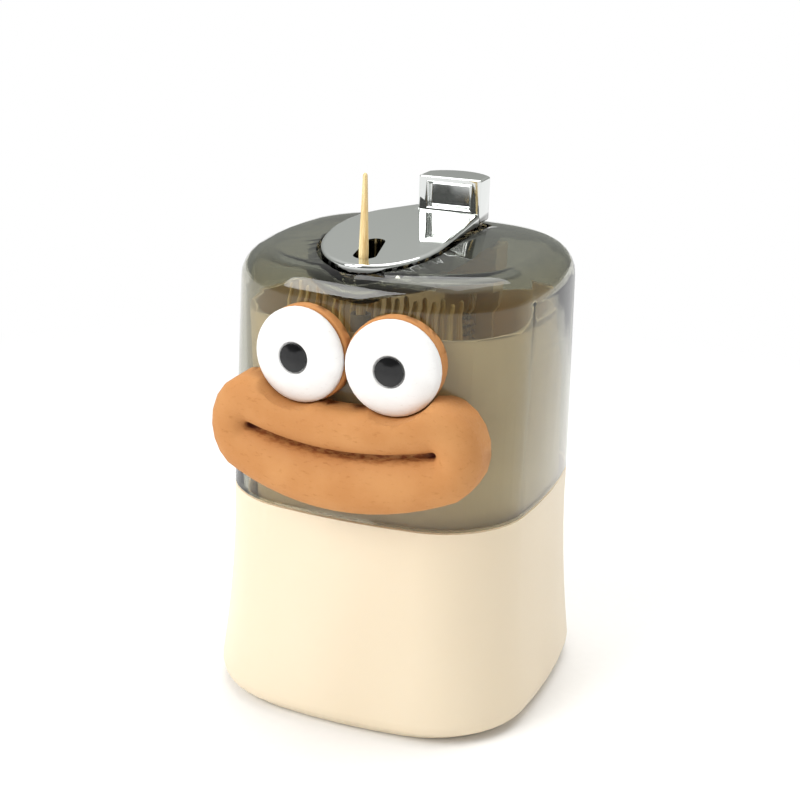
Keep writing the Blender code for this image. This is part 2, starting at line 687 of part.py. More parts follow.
def make_deck():
    """Chrome plate with its rim, the bowl under it that fits the cover, and the outlet chute."""
    rings = [drop_level(0.0, BOWL_TOP_Z)]
    for i in range(ROUND_STEPS // 2 + 1):
        angle = math.pi / 2 * i / (ROUND_STEPS // 2)
        grow = DECK_RIM_ROUND * (math.cos(angle) - 1)
        rings.append(on_deck(drop_ring(grow, DECK_RIM_ROUND * (math.sin(angle) - 1))))
    item = loft("deck", rings)
    keel = on_deck(keel_ring(0.0, -BOWL_DEPTH))
    side = rounded_in(drop_level(FLANGE, BOWL_TOP_Z), keel)
    bowl = loft("deck_bowl", [drop_level(FLANGE, COVER_EDGE_Z)] + side)
    space = loft("deck_space", cover_rings(COVER_WALL + GAP, COVER_EDGE_Z - 2 * COVER_FILLET))
    cut(bowl, space, "INTERSECT")
    cut(item, bowl, "UNION")
    roof = on_deck(drop_ring(-DECK_SKIRT, -DECK_PLATE))
    inner = rounded_in(roof, on_deck(keel_ring(-BOWL_WALL, -BOWL_DEPTH)))
    cut(item, loft("deck_pocket", inner + [on_deck(keel_ring(-BOWL_WALL, -BOWL_DEPTH - OVERRUN))]))
    below = DECK_Z - 2 * BOWL_DEPTH
    chute = loft("deck_chute", [slot_ring(below, CHUTE_WALL), slot_ring(DECK_Z, CHUTE_WALL)])
    cut(chute, deck_prism("chute_room", 0.0, -BOWL_DEPTH - CHUTE_PROUD, -DECK_PLATE / 2), "INTERSECT")
    cut(item, chute, "UNION")
    cut(item, loft("deck_slot", [slot_ring(below), slot_ring(DECK_Z + OVERRUN)]))
    cut(item, button_prism("button_way", BUTTON_PLAY, BLOCK_LOW_Z, BUTTON_TOP_Z))
    return finish_piece(smooth(item), "deck", CHROME)


def make_button(parent):
    """Chrome button with a curved back and a window sunk in its front."""
    item = button_prism("button", 0.0, BUTTON_BOTTOM_Z, BUTTON_TOP_Z)
    left = BUTTON_LEFT + WINDOW_LEFT_RIM
    right = BUTTON_RIGHT - WINDOW_RIGHT_RIM
    window = box("button_window", (left, BUTTON_FRONT - OVERRUN, BUTTON_BOTTOM_Z + WINDOW_SILL),
                 (right, BUTTON_FRONT + WINDOW_DEPTH, BUTTON_TOP_Z - WINDOW_HEAD))
    cut(item, window)
    bevel(item, BUTTON_EDGE, angle=EDGE_ANGLE)
    cut(item, cylinder("rod_socket", ROD_R + GAP, BUTTON_BOTTOM_Z - OVERRUN,
                       BUTTON_BOTTOM_Z + ROD_SOCKET, ROD_X, ROD_Y))
    finish_piece(smooth(item), "button", CHROME)
    return parented(item, parent)


def make_rod(parent):
    low = PIVOT_Z + PRESS / 2 + LEVER_THICK + GAP
    item = cylinder("rod", ROD_R, low, BUTTON_BOTTOM_Z + ROD_SOCKET - GAP, ROD_X, ROD_Y)
    bevel(item, ROD_R / 4, 1)
    finish_piece(item, "rod", ROD_STEEL)
    return parented(item, parent)


def make_clip(parent):
    """Washer clip that the spring pushes up against."""
    item = cylinder("rod_clip", CLIP_R, CLIP_Z - CLIP_THICK, CLIP_Z, ROD_X, ROD_Y)
    bore = cylinder("clip_bore", ROD_R + CLIP_GROOVE, CLIP_Z - CLIP_THICK - OVERRUN,
                    CLIP_Z + OVERRUN, ROD_X, ROD_Y)
    cut(item, bore)
    finish_piece(item, "rod_clip", STEEL)
    return parented(item, parent)


def make_spring():
    """Open coil round the rod, from the shelf to the clip, as one tube."""
    low = SPRING_LOW_Z + GAP + SPRING_WIRE / 2
    high = SPRING_HIGH_Z - GAP - SPRING_WIRE / 2
    count = SPRING_TURNS * SPRING_POINTS
    step = (high - low) / count
    turns = []
    for i in range(count + 1):
        angle = 2 * math.pi * i / SPRING_POINTS
        turns.append(Vector((SPRING_R * math.cos(angle), SPRING_R * math.sin(angle), low + step * i)))
    first = turns[0] - (turns[1] - turns[0]).normalized() * SPRING_WIRE
    first.z = turns[0].z
    last = turns[-1] + (turns[-1] - turns[-2]).normalized() * SPRING_WIRE
    last.z = turns[-1].z
    points = [first] + turns + [last]
    print("spring: least gap to itself", spring_gap(points))
    line = bpy.data.curves.new("return_spring", "CURVE")
    line.dimensions = "3D"
    line.bevel_depth = SPRING_WIRE / 2
    line.bevel_resolution = 1
    line.use_fill_caps = True
    spline = line.splines.new("POLY")
    spline.points.add(len(points) - 1)
    for point, place in zip(spline.points, points):
        point.co = (*place, 1.0)
    item = bpy.data.objects.new("return_spring", line)
    item.location = (ROD_X, ROD_Y, 0.0)
    return finish_piece(item, "return_spring", STEEL)


def spring_gap(points):
    """Least distance between wire surfaces of points at least half a turn apart."""
    apart = SPRING_POINTS // 2 + 1
    least = min((a - b).length for i, a in enumerate(points) for b in points[i + apart:])
    return least - SPRING_WIRE


def make_bracket():
    """Post on the tub's floor with the rod's guide block on top and the spring's shelf."""
    floor = FLOOR_TOP_Z + GAP
    item = box("rod_bracket", (BLOCK_LEFT, POST_BACK - POST_THICK, floor),
               (BLOCK_RIGHT, POST_BACK, BLOCK_HIGH_Z))
    block = box("guide_block", (BLOCK_LEFT, ROD_Y - BLOCK_FRONT_REACH, BLOCK_LOW_Z),
                (BLOCK_RIGHT, POST_BACK, BLOCK_HIGH_Z))
    shelf = box("spring_shelf", (BLOCK_LEFT, ROD_Y - SHELF_REACH, SPRING_LOW_Z - SHELF_THICK),
                (BLOCK_RIGHT, POST_BACK, SPRING_LOW_Z))
    foot = box("bracket_foot", (BLOCK_LEFT, ROD_Y - BRACKET_FOOT_REACH, floor),
               (BLOCK_RIGHT, POST_BACK, floor + BRACKET_FOOT_THICK))
    for extra in (block, shelf, foot):
        cut(item, extra, "UNION")
    way = cylinder("rod_way", ROD_R + SLIDE_PLAY, floor - OVERRUN, BLOCK_HIGH_Z + OVERRUN, ROD_X, ROD_Y)
    cut(item, way)
    return finish_piece(smooth(item), "rod_bracket", BRACKET_CREAM)


def pick_profile():
    """Toothpick, tapered to blunt tips at both ends, centred on its middle."""
    half = PICK_LENGTH / 2
    waist = half - PICK_TAPER
    shoulder = half - PICK_TIP_R
    return [(0.0, half), (PICK_TIP_R * PICK_END_SHARE, half - PICK_TIP_R / 4), (PICK_TIP_R, shoulder),
            (PICK_R, waist), (PICK_R, -waist), (PICK_TIP_R, -shoulder),
            (PICK_TIP_R * PICK_END_SHARE, PICK_TIP_R / 4 - half), (0.0, -half)]


def make_pick_out():
    """The toothpick that stands out of the deck, on its own slide."""
    middle = OUT_TOP_Z - PICK_LENGTH / 2
    item = turned("toothpick_out", pick_profile(), PICK_SIDES)
    item.location = (OUT_X, OUT_Y, middle)
    return finish_piece(item, "toothpick_out", WOOD)


def make_stock():
    """Rows of toothpicks standing on the tub's floor, each row leaning its own way."""
    first = turned("toothpick_00", pick_profile(), PICK_SIDES)
    half = PICK_LENGTH / 2
    lift = half * math.cos(STOCK_LEAN) + PICK_TIP_R * math.sin(STOCK_LEAN)
    number = 0
    for row in range(STOCK_ROWS):
        y = OUT_Y + STOCK_REACH + STOCK_ROW_PITCH * row
        lean = STOCK_LEAN * (1 - 2 * (row % 2))
        for i in range(STOCK_COUNT):
            item = first
            if number:
                item = bpy.data.objects.new("toothpick", first.data)
                screw = item.modifiers.new("Turn", "SCREW")
                copy_screw(first.modifiers["Turn"], screw)
                bpy.context.scene.collection.objects.link(item)
            x = STOCK_CLEAR - TUB_INNER + STOCK_PITCH * (i + row / 2)
            item.location = (x, y, FLOOR_TOP_Z + GAP + lift)
            item.rotation_euler = (0.0, lean, 0.0)
            item.name = "toothpick_%02d" % (number + 1)
            number += 1
            put_in(item, PARTS)
    first.data.materials.append(WOOD)


def copy_screw(source, target):
    for field in ("steps", "render_steps", "use_merge_vertices", "merge_threshold", "use_smooth_shade"):
        setattr(target, field, getattr(source, field))


def make_guide():
    """Tube that leads a toothpick up to the outlet, slotted so that one can drop in."""
    low = FLOOR_TOP_Z + GAP
    item = cylinder("guide_tube", GUIDE_R, low, GUIDE_TOP_Z, OUT_X, OUT_Y)
    foot = cylinder("guide_foot", GUIDE_FOOT_R, low, low + GUIDE_FOOT, OUT_X, OUT_Y)
    bore = cylinder("guide_bore", GUIDE_BORE_R, low - OVERRUN, GUIDE_TOP_Z + OVERRUN, OUT_X, OUT_Y)
    slot = box("guide_slot", (OUT_X - GUIDE_SLOT / 2, OUT_Y, low + GUIDE_FOOT + GAP),
               (OUT_X + GUIDE_SLOT / 2, OUT_Y + GUIDE_R + OVERRUN, GUIDE_TOP_Z - GUIDE_HEAD))
    cut(item, foot, "UNION")
    cut(item, bore)
    cut(item, slot)
    return finish_piece(item, "guide_tube", GREY)


def lever_ring(z):
    """Outline of the lever's arm round its pads and waist, in the lever's own frame."""
    rod = Vector((ROD_X - PIVOT_X, ROD_Y - PIVOT_Y, 0.0))
    pin = Vector((OUT_X - PIVOT_X, OUT_Y - PIVOT_Y, 0.0))
    heading = math.atan2(rod.y - pin.y, rod.x - pin.x)
    ring = []
    steps = SMALL_TURN_STEPS // 2
    for centre, start in ((rod, heading - math.pi / 2), (pin, heading + math.pi / 2)):
        for i in range(steps + 1):
            angle = start + math.pi * i / steps
            ring.append(centre + LEVER_PAD_R * Vector((math.cos(angle), math.sin(angle), 0.0)))
        middle = (rod + pin) / 2
        side = Vector((math.cos(angle), math.sin(angle), 0.0))
        ring.append(middle + LEVER_WAIST_R * side)
    return [Vector((p.x, p.y, z)) for p in ring]


def make_lever():
    """Lever on its pin, level at half travel, so at rest its rod end is up."""
    item = loft("lever", [lever_ring(-LEVER_THICK / 2), lever_ring(LEVER_THICK / 2)])
    hub = cylinder("lever_hub", HUB_R, -HUB_HALF, HUB_HALF)
    lay_along_x(hub, 0.0, 0.0, 0.0)
    bore = cylinder("lever_bore", PIVOT_PIN_R + SLIDE_PLAY, -HUB_HALF - OVERRUN, HUB_HALF + OVERRUN)
    lay_along_x(bore, 0.0, 0.0, 0.0)
    cut(item, hub, "UNION")
    cut(item, bore)
    finish_piece(smooth(item), "lever", GREY)
    pivot = joint_empty("lever_pivot", (PIVOT_X, PIVOT_Y, PIVOT_Z), (LEVER_SWING / 2, 0.0, 0.0))
    for piece in (item, hub, bore):
        piece.parent = pivot
    return item


def make_lifter():
    """Pin that the lever's long end raises inside the guide tube."""
    low = PIVOT_Z - LIFT_DROP + LEVER_THICK + GAP
    item = cylinder("lifter", LIFT_PIN_R, low, LIFT_TOP_Z, OUT_X, OUT_Y)
    foot = cylinder("lifter_foot", LIFT_FOOT_R, low, low + LIFT_FOOT, OUT_X, OUT_Y)
    cut(item, foot, "UNION")
    return finish_piece(smooth(item), "lifter", GREY)


def eye_x(side):
    return EYES_X + side * EYE_HALF


def disc_x(side):
    return eye_x(side) - side * DISC_SHIFT


def face_out(item, side, x, y=DISC_FRONT_Y):
    """Turn an upright piece so that its top faces forwards, following the bulged front."""
    item.rotation_euler = (math.pi / 2, 0.0, side * EYE_TURN)
    item.location = (x, y, EYE_Z)
    return item


def face_cylinder(name, radius, low, high, side, x):
    """A cylinder that faces forwards, between two heights over the front of the discs."""
    item = cylinder(name, radius, low, high, steps=TURN_STEPS)
    item.data.transform(Matrix.Translation((0.0, 0.0, (low + high) / 2)))
    return face_out(item, side, x)


def make_eye(side, cover_form):
    """One eye: a brown disc on the cover, a white dome on it and a black pupil in its pit."""
    tag = "left" if side < 0 else "right"
    disc = face_cylinder("disc", DISC_R, -FACE_SINK - DISC_PROUD, 0.0, side, disc_x(side))
    bevel(disc, DISC_EDGE)
    cut(disc, cover_form)
    near = EYES_X + side * GAP / 2
    far = EYES_X - side * DISC_R
    cut(disc, box("disc_trim_" + tag, (min(near, far), DISC_FRONT_Y - OVERRUN, EYE_Z - DISC_R),
                  (max(near, far), FACE_BACK_Y + OVERRUN, EYE_Z + DISC_R)))
    finish_piece(smooth(disc), "eye_disc_" + tag, BROWN)

    top = EYE_EDGE + EYE_DOME
    profile = [(0.0, top - PUPIL_PIT), (PUPIL_PIT_R, top - PUPIL_PIT)]
    reach = math.acos(PUPIL_PIT_R / EYE_R)
    for i in range(ROUND_STEPS + 1):
        angle = reach * (1 - i / ROUND_STEPS)
        rise = EYE_DOME * math.sin(angle) / math.sin(reach)
        profile.append((EYE_R * math.cos(angle), EYE_EDGE + rise))
    profile += [(EYE_R, EYE_BACK_INSET), (EYE_R - EYE_BACK_INSET, 0.0), (0.0, 0.0)]
    eye = turned("eye_" + tag, profile)
    face_out(eye, side, eye_x(side), DISC_FRONT_Y - GAP)
    finish_piece(eye, "eye_" + tag, WHITE)

    pit = top - PUPIL_PIT + GAP
    pupil = turned("pupil_" + tag, [(0.0, pit + PUPIL_THICK + PUPIL_DOME),
                                    (PUPIL_R / 2, pit + PUPIL_THICK + PUPIL_DOME * PUPIL_DOME_SHARE),
                                    (PUPIL_R, pit + PUPIL_THICK), (PUPIL_R, pit), (0.0, pit)])
    face_out(pupil, side, eye_x(side), DISC_FRONT_Y - GAP)
    finish_piece(pupil, "pupil_" + tag, BLACK)


def smile_point(share):
    """Point and upward normal of the smile line at a share of its half length."""
    x = LIPS_HALF * share
    z = LIPS_SAG * share ** 2
    slope = 2 * LIPS_SAG * share / LIPS_HALF
    normal = Vector((-slope, 0.0, 1.0)).normalized()
    return Vector((x, 0.0, z)), normal


def lips_ring(share, y, bend):
    """A loop round the smile line at a share of the lips' reach, its ends swept back by bend."""
    ring = []
    for side in (1, -1):
        for i in range(SMILE_STEPS + 1):
            place = side * (2 * i / SMILE_STEPS - 1)
            point, normal = smile_point(place)
            middle, end = (LIPS_UP, LIPS_UP_END) if side > 0 else (-LIPS_DOWN, -LIPS_DOWN_END)
            ring.append(point + normal * share * (middle + (end - middle) * place ** 2))
        tip, normal = smile_point(side)
        out = Vector((normal.z, 0.0, -normal.x)) * side
        for i in range(1, LIPS_END_STEPS):
            angle = math.pi * i / LIPS_END_STEPS
            up = side * math.cos(angle)
            reach = LIPS_UP_END if up > 0 else LIPS_DOWN_END
            ring.append(tip + share * (normal * up * reach + out * math.sin(angle) * LIPS_OUT))
    full = LIPS_HALF + LIPS_OUT
    return [Vector((LIPS_X + p.x, y + bend * (p.x / full) ** 2, LIPS_Z + p.z)) for p in ring]


def make_lips(cover_form):
    """Full lips round a smile line, with a straight side wall and a back that fits the cover."""
    rings = [lips_ring(LIPS_GROOVE_SHARE, LIPS_GROOVE_Y, LIPS_BEND)]
    inner = LIPS_CREST_SHARE - LIPS_GROOVE_SHARE
    for i in range(1, ROUND_STEPS + 1):
        angle = math.pi / 2 * i / ROUND_STEPS
        share = LIPS_GROOVE_SHARE + inner * (1 - math.cos(angle))
        y = LIPS_GROOVE_Y + (LIPS_CREST_Y - LIPS_GROOVE_Y) * math.sin(angle)
        rings.append(lips_ring(share, y, LIPS_BEND))
    outer = 1 - LIPS_CREST_SHARE
    for i in range(1, ROUND_STEPS + 1):
        angle = math.pi / 2 * i / ROUND_STEPS
        y = LIPS_EDGE_Y + (LIPS_CREST_Y - LIPS_EDGE_Y) * math.cos(angle)
        rings.append(lips_ring(LIPS_CREST_SHARE + outer * math.sin(angle), y, LIPS_BEND))
    rings.append(lips_ring(1.0, FACE_BACK_Y, 0.0))
    item = loft("lips", rings)
    cut(item, cover_form)
    low = -FACE_SINK - DISC_PROUD - OVERRUN
    high = LIPS_CREST_PROUD - DISC_PROUD + OVERRUN
    for side in (-1, 1):
        cut(item, face_cylinder("disc_room", DISC_R + GAP, low, GAP, side, disc_x(side)))
        cut(item, face_cylinder("eye_room", EYE_R + GAP, 0.0, high, side, eye_x(side)))
    return finish_piece(smooth(item), "lips", BROWN)


clear_scene()
PARTS = new_collection("toothpick_holder")
CUTTERS = new_collection("cutters")

CREAM = material("cream_plastic", (0.80, 0.66, 0.47), 0.38)
TUB_CREAM = material("tub_cream_plastic", (0.78, 0.68, 0.50), 0.45)
BRACKET_CREAM = material("bracket_cream_plastic", (0.80, 0.68, 0.50), 0.45)
SMOKE = material("smoke_clear_plastic", (0.42, 0.42, 0.36), 0.05, transmission=0.9)
CHROME = material("chrome_plating", (0.78, 0.78, 0.78), 0.06, 1.0)
STEEL = material("bright_steel", (0.72, 0.71, 0.69), 0.25, 1.0)
ROD_STEEL = material("pale_rod_steel", (0.80, 0.76, 0.68), 0.3, 1.0)
GREY = material("grey_plastic", (0.45, 0.42, 0.36), 0.5)
WOOD = material("pale_wood", (0.86, 0.66, 0.36), 0.7)
BROWN = material("brown_matte_resin", (0.56, 0.27, 0.09), 0.75)
WHITE = material("white_matte_resin", (0.86, 0.86, 0.85), 0.7)
BLACK = material("black_gloss_resin", (0.012, 0.012, 0.012), 0.12)

make_base_shell()
make_base_bottom()
make_lever_pin()
make_tub()
make_bracket()
make_guide()
make_stock()
make_spring()
make_cover()
make_deck()
FORM = grown_cover()
make_eye(-1, FORM)
make_eye(1, FORM)
make_lips(FORM)
PRESS_AXIS = joint_empty("button_slide", (ROD_X, ROD_Y, BUTTON_BOTTOM_Z))
make_button(PRESS_AXIS)
make_rod(PRESS_AXIS)
make_clip(PRESS_AXIS)
make_lever()
make_lifter()
make_pick_out()
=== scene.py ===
"""Looks of the press-top toothpick holder: materials, camera, light and floor round its CAD model."""
import json
import math

import bmesh
import bpy
from mathutils import Matrix, Vector


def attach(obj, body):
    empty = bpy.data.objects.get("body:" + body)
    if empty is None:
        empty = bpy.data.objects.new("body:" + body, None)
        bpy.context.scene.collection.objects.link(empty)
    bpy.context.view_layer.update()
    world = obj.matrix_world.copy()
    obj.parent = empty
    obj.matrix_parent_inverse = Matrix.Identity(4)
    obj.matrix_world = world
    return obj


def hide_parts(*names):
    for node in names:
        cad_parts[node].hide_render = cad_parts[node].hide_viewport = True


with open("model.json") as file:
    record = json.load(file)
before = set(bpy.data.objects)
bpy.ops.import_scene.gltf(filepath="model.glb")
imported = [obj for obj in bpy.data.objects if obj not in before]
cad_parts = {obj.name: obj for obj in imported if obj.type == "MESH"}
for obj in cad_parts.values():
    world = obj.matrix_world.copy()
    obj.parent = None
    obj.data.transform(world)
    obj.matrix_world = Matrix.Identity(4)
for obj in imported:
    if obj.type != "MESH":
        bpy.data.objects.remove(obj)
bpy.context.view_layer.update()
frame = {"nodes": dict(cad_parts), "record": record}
NODES = frame["nodes"]

MM = 0.001

# Camera, as the photograph was taken, with the photograph's frame of 800 by 800 pixels
FRAME_PX = 800
CAMERA_AZIMUTH = math.radians(21.07)
CAMERA_ELEVATION = math.radians(20.66)
CAMERA_ROLL = math.radians(1.88)
CAMERA_DISTANCE = 333.2 * MM
CAMERA_AIM = (0.0, 0.0, 51.0 * MM)
CAMERA_FOCAL_PX = 1485
CAMERA_CENTRE_PX = (405.0, 453.8)
SENSOR = 36.0


def add_camera():
    a = CAMERA_AZIMUTH
    e = CAMERA_ELEVATION
    right = Vector((math.cos(a), math.sin(a), 0.0))
    back = Vector((math.sin(a) * math.cos(e), -math.cos(a) * math.cos(e), math.sin(e)))
    up = back.cross(right)
    turned_right = right * math.cos(CAMERA_ROLL) + up * math.sin(CAMERA_ROLL)
    turned_up = up * math.cos(CAMERA_ROLL) - right * math.sin(CAMERA_ROLL)
    data = bpy.data.cameras.new("camera")
    data.sensor_width = SENSOR
    data.lens = SENSOR * CAMERA_FOCAL_PX / FRAME_PX
    data.shift_x = (FRAME_PX / 2 - CAMERA_CENTRE_PX[0]) / FRAME_PX
    data.shift_y = (CAMERA_CENTRE_PX[1] - FRAME_PX / 2) / FRAME_PX
    data.clip_start = 0.01
    camera = bpy.data.objects.new("camera", data)
    turn = Matrix((turned_right, turned_up, back)).transposed().to_4x4()
    camera.matrix_world = Matrix.Translation(Vector(CAMERA_AIM) + back * CAMERA_DISTANCE) @ turn
    bpy.context.scene.collection.objects.link(camera)
    bpy.context.scene.camera = camera


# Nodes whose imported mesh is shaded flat, though the real surface is round
ROUND_NODES = ("base_shell", "tub", "cover_shell", "deck", "button", "lips", "eye_disc_left",
               "eye_disc_right", "eye_left", "eye_right", "pupil_left", "pupil_right", "toothpick_out")
WELD = 0.001 * MM
SHARP = math.radians(32)

SUBSURFACE = 0.08
SUBSURFACE_REACH = (4 * MM, 3 * MM, 2 * MM)

# Heights between which the smoke cover's tint turns darker towards its top, a painted shade
COVER_TOP_SHADE = (92 * MM, 100 * MM)

# The plate in the cover's top, and the depths under it between which its plating turns to painted shade
PLATE_Z = 102.84 * MM
PLATE_SLOPE = 0.08
PLATE_PAINTED_SHADE = (-1.3 * MM, -0.5 * MM)

# Smile line on the lips: its middle, half length, height, and how much it rises and turns back at its ends
SMILE_X = 0.5 * MM
SMILE_HALF = 20.0 * MM
SMILE_Z = 64.7 * MM
SMILE_RISE = 2.2 * MM
SMILE_BACK = 1.6 * MM

# The painted shade in the groove along the line, the darker painted shade at its ends, and how far past the
# line's half length both reach
GROOVE_SHADE_Y = (-41.4 * MM, -38.9 * MM)
GROOVE_SHADE_OFF = (4.2 * MM, 0.4 * MM)
ENDS_SHADE_Y = (-40.4 * MM, -38.8 * MM)
ENDS_SHADE_OFF = (2.2 * MM, 0.3 * MM)
ENDS_SHADE_SHARES = (0.84, 0.99)
WITHIN_SHARES = (1.13, 1.03)

# Light: the world on matt surfaces, and what metal and clear plastic show of it from low to high
WORLD_LIGHT = 0.62
WORLD_COLOUR = (1.0, 0.99, 0.97)
SURROUND = ((0.40, (0.16, 0.16, 0.155)), (0.62, (0.40, 0.41, 0.39)), (1.0, (0.80, 0.80, 0.79)))
SURROUND_FRONT = (-0.9, 0.1)
SURROUND_FRONT_SHARE = 0.25

# Lamps: name, place, side and power
LAMP_AIM = (0.0, 0.0, 0.05)
LAMPS = (("key", (-0.55, -0.75, 0.75), 0.7, 9.0), ("top", (0.05, 0.25, 0.95), 0.8, 6.0))

# Floor, and the distances from the object between which it fades to white
FLOOR_RADIUS = 3.0
FLOOR_SIDES = 96
FLOOR_FADE = (0.06, 0.30)


def body_of(node):
    for name, nodes in frame["record"]["behaviour"]["bodies"].items():
        if node in nodes:
            return name
    return None


def rounded(node):
    """Stands for a node with the same form, welded and shaded as a round surface."""
    maker = bmesh.new()
    maker.from_mesh(NODES[node].data)
    bmesh.ops.remove_doubles(maker, verts=maker.verts, dist=WELD)
    data = bpy.data.meshes.new(node + "_surface")
    maker.to_mesh(data)
    maker.free()
    data.shade_smooth()
    data.set_sharp_from_angle(angle=SHARP)
    piece = bpy.data.objects.new(node + "_surface", data)
    bpy.context.scene.collection.objects.link(piece)
    normals = piece.modifiers.new("Normals", "WEIGHTED_NORMAL")
    normals.keep_sharp = True
    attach(piece, body_of(node))
    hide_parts(node)
    return piece


class Nodes:
    """Builds one material's node tree."""

    def __init__(self, name):
        self.material = bpy.data.materials.new(name)
        self.material.use_nodes = True
        self.tree = self.material.node_tree
        self.shader = self.tree.nodes["Principled BSDF"]
        self.out = self.tree.nodes["Material Output"]
        self.place = self.tree.nodes.new("ShaderNodeTexCoord").outputs["Object"]

    def put(self, socket, value):
        """Sets a socket to a value, or links it to another socket."""
        if isinstance(value, bpy.types.NodeSocket):
            self.tree.links.new(value, socket)
        elif isinstance(value, tuple) and len(value) == 3 and socket.type == "RGBA":
            socket.default_value = (*value, 1.0)
        else:
            socket.default_value = value

    def set(self, **values):
        for name, value in values.items():
            self.put(self.shader.inputs[name.replace("_", " ")], value)
        return self

    def math(self, operation, *values):
        node = self.tree.nodes.new("ShaderNodeMath")
        node.operation = operation
        for socket, value in zip(node.inputs, values):
            self.put(socket, value)
        return node.outputs[0]

    def axes(self):
        node = self.tree.nodes.new("ShaderNodeSeparateXYZ")
        self.put(node.inputs[0], self.place)
        return node.outputs

    def stretched(self, scale, turn=(0.0, 0.0, 0.0)):
        node = self.tree.nodes.new("ShaderNodeMapping")
        self.put(node.inputs["Vector"], self.place)
        node.inputs["Rotation"].default_value = turn
        node.inputs["Scale"].default_value = scale
        return node.outputs[0]

    def noise(self, size, detail=3.0, roughness=0.5, place=None):
        """Noise whose features are about size metres across."""
        node = self.tree.nodes.new("ShaderNodeTexNoise")
        self.put(node.inputs["Vector"], place or self.place)
        node.inputs["Scale"].default_value = 1.0 / size
        node.inputs["Detail"].default_value = detail
        node.inputs["Roughness"].default_value = roughness
        return node.outputs["Fac"]

    def span(self, value, low, high, to_low=0.0, to_high=1.0):
        """Maps low..high onto to_low..to_high with eased ends, clamped."""
        node = self.tree.nodes.new("ShaderNodeMapRange")
        node.interpolation_type = "SMOOTHSTEP"
        for name, number in (("Value", value), ("From Min", low), ("From Max", high),
                             ("To Min", to_low), ("To Max", to_high)):
            self.put(node.inputs[name], number)
        return node.outputs["Result"]

    def mix(self, share, first, second):
        node = self.tree.nodes.new("ShaderNodeMix")
        node.data_type = "RGBA"
        self.put(node.inputs[0], share)
        self.put(node.inputs[6], first)
        self.put(node.inputs[7], second)
        return node.outputs[2]

    def bump(self, height, depth, strength=1.0, under=None):
        node = self.tree.nodes.new("ShaderNodeBump")
        node.inputs["Strength"].default_value = strength
        node.inputs["Distance"].default_value = depth
        self.put(node.inputs["Height"], height)
        if under is not None:
            self.put(node.inputs["Normal"], under)
        return node.outputs["Normal"]

    def light_path(self):
        return self.tree.nodes.new("ShaderNodeLightPath").outputs

    def show_instead(self, share, other):
        """Shows another shader in place of the material's own, by a share."""
        node = self.tree.nodes.new("ShaderNodeMixShader")
        self.put(node.inputs[0], share)
        self.put(node.inputs[1], self.shader.outputs[0])
        self.put(node.inputs[2], other.outputs[0])
        self.put(self.out.inputs["Surface"], node.outputs[0])


def srgb(red, green, blue):
    """Linear colour of an 8-bit display colour."""
    def linear(level):
        share = level / 255
        return share / 12.92 if share <= 0.04045 else ((share + 0.055) / 1.055) ** 2.4
    return (linear(red), linear(green), linear(blue))


def moulded_plastic(name, colour, shade, roughness):
    """Satin plastic with faint flow marks and a fine moulded grain."""
    m = Nodes(name)
    flow = m.noise(40 * MM, 2.0, place=m.stretched((1.0, 1.0, 0.35)))
    grain = m.noise(0.35 * MM, 2.0)
    wave = m.noise(9 * MM, 2.0)
    m.set(Base_Color=m.mix(m.span(flow, 0.3, 0.7), colour, shade),
          Roughness=m.span(grain, 0.3, 0.7, roughness - 0.04, roughness + 0.05),
          Normal=m.bump(grain, 0.010 * MM, 0.35, m.bump(wave, 0.05 * MM, 0.25)),
          Subsurface_Weight=SUBSURFACE, Subsurface_Radius=SUBSURFACE_REACH, Subsurface_Scale=1.0,
          Specular_IOR_Level=0.45)
    return m.material


def smoke_plastic():
    """Clear smoke-tinted plastic, darker towards its top by painted shade, that lets shadow and diffuse rays
    straight through.
    """
    m = Nodes("smoke_clear_plastic")
    height = m.axes()[2]
    cloud = m.noise(30 * MM, 2.0)
    tint = m.mix(m.span(cloud, 0.35, 0.65), srgb(184, 183, 168), srgb(178, 176, 160))
    # Painted shade: the tint darkens towards the cover's top
    tint = m.mix(m.span(height, *COVER_TOP_SHADE), tint, srgb(150, 152, 138))
    ripple = m.noise(14 * MM, 1.0)
    m.set(Base_Color=tint, Roughness=m.span(ripple, 0.3, 0.7, 0.015, 0.035),
          Normal=m.bump(ripple, 0.10 * MM, 0.30),
          Transmission_Weight=1.0, IOR=1.49, Specular_IOR_Level=0.4)
    clear = m.tree.nodes.new("ShaderNodeBsdfTransparent")
    clear.inputs["Color"].default_value = (0.93, 0.92, 0.90, 1.0)
    path = m.light_path()
    m.show_instead(m.math("MAXIMUM", path["Is Shadow Ray"], path["Is Diffuse Ray"]), clear)
    return m.material


def chrome(name, colour, painted_shade):
    """Bright plating with faint orange peel, darkened by painted shade below the plate."""
    m = Nodes(name)
    peel = m.noise(1.6 * MM, 2.0)
    smear = m.noise(7 * MM, 4.0, 0.6)
    y, z = m.axes()[1:]
    depth = m.math("SUBTRACT", z, m.math("MULTIPLY_ADD", y, PLATE_SLOPE, PLATE_Z))
    # Painted shade: below the plate the plating takes the dark colour
    m.set(Base_Color=m.mix(m.span(depth, *PLATE_PAINTED_SHADE), painted_shade, colour), Metallic=1.0,
          Roughness=m.span(smear, 0.35, 0.7, 0.03, 0.09),
          Normal=m.bump(peel, 0.004 * MM, 0.25))
    return m.material


def steel(name, colour, roughness):
    """Drawn steel with faint lines along its length."""
    m = Nodes(name)
    drawn = m.noise(0.25 * MM, 3.0, place=m.stretched((1.0, 1.0, 0.05)))
    m.set(Base_Color=m.mix(drawn, colour, tuple(c * 0.8 for c in colour)), Metallic=1.0,
          Roughness=m.span(drawn, 0.3, 0.7, roughness - 0.05, roughness + 0.08),
          Normal=m.bump(drawn, 0.004 * MM, 0.4))
    return m.material


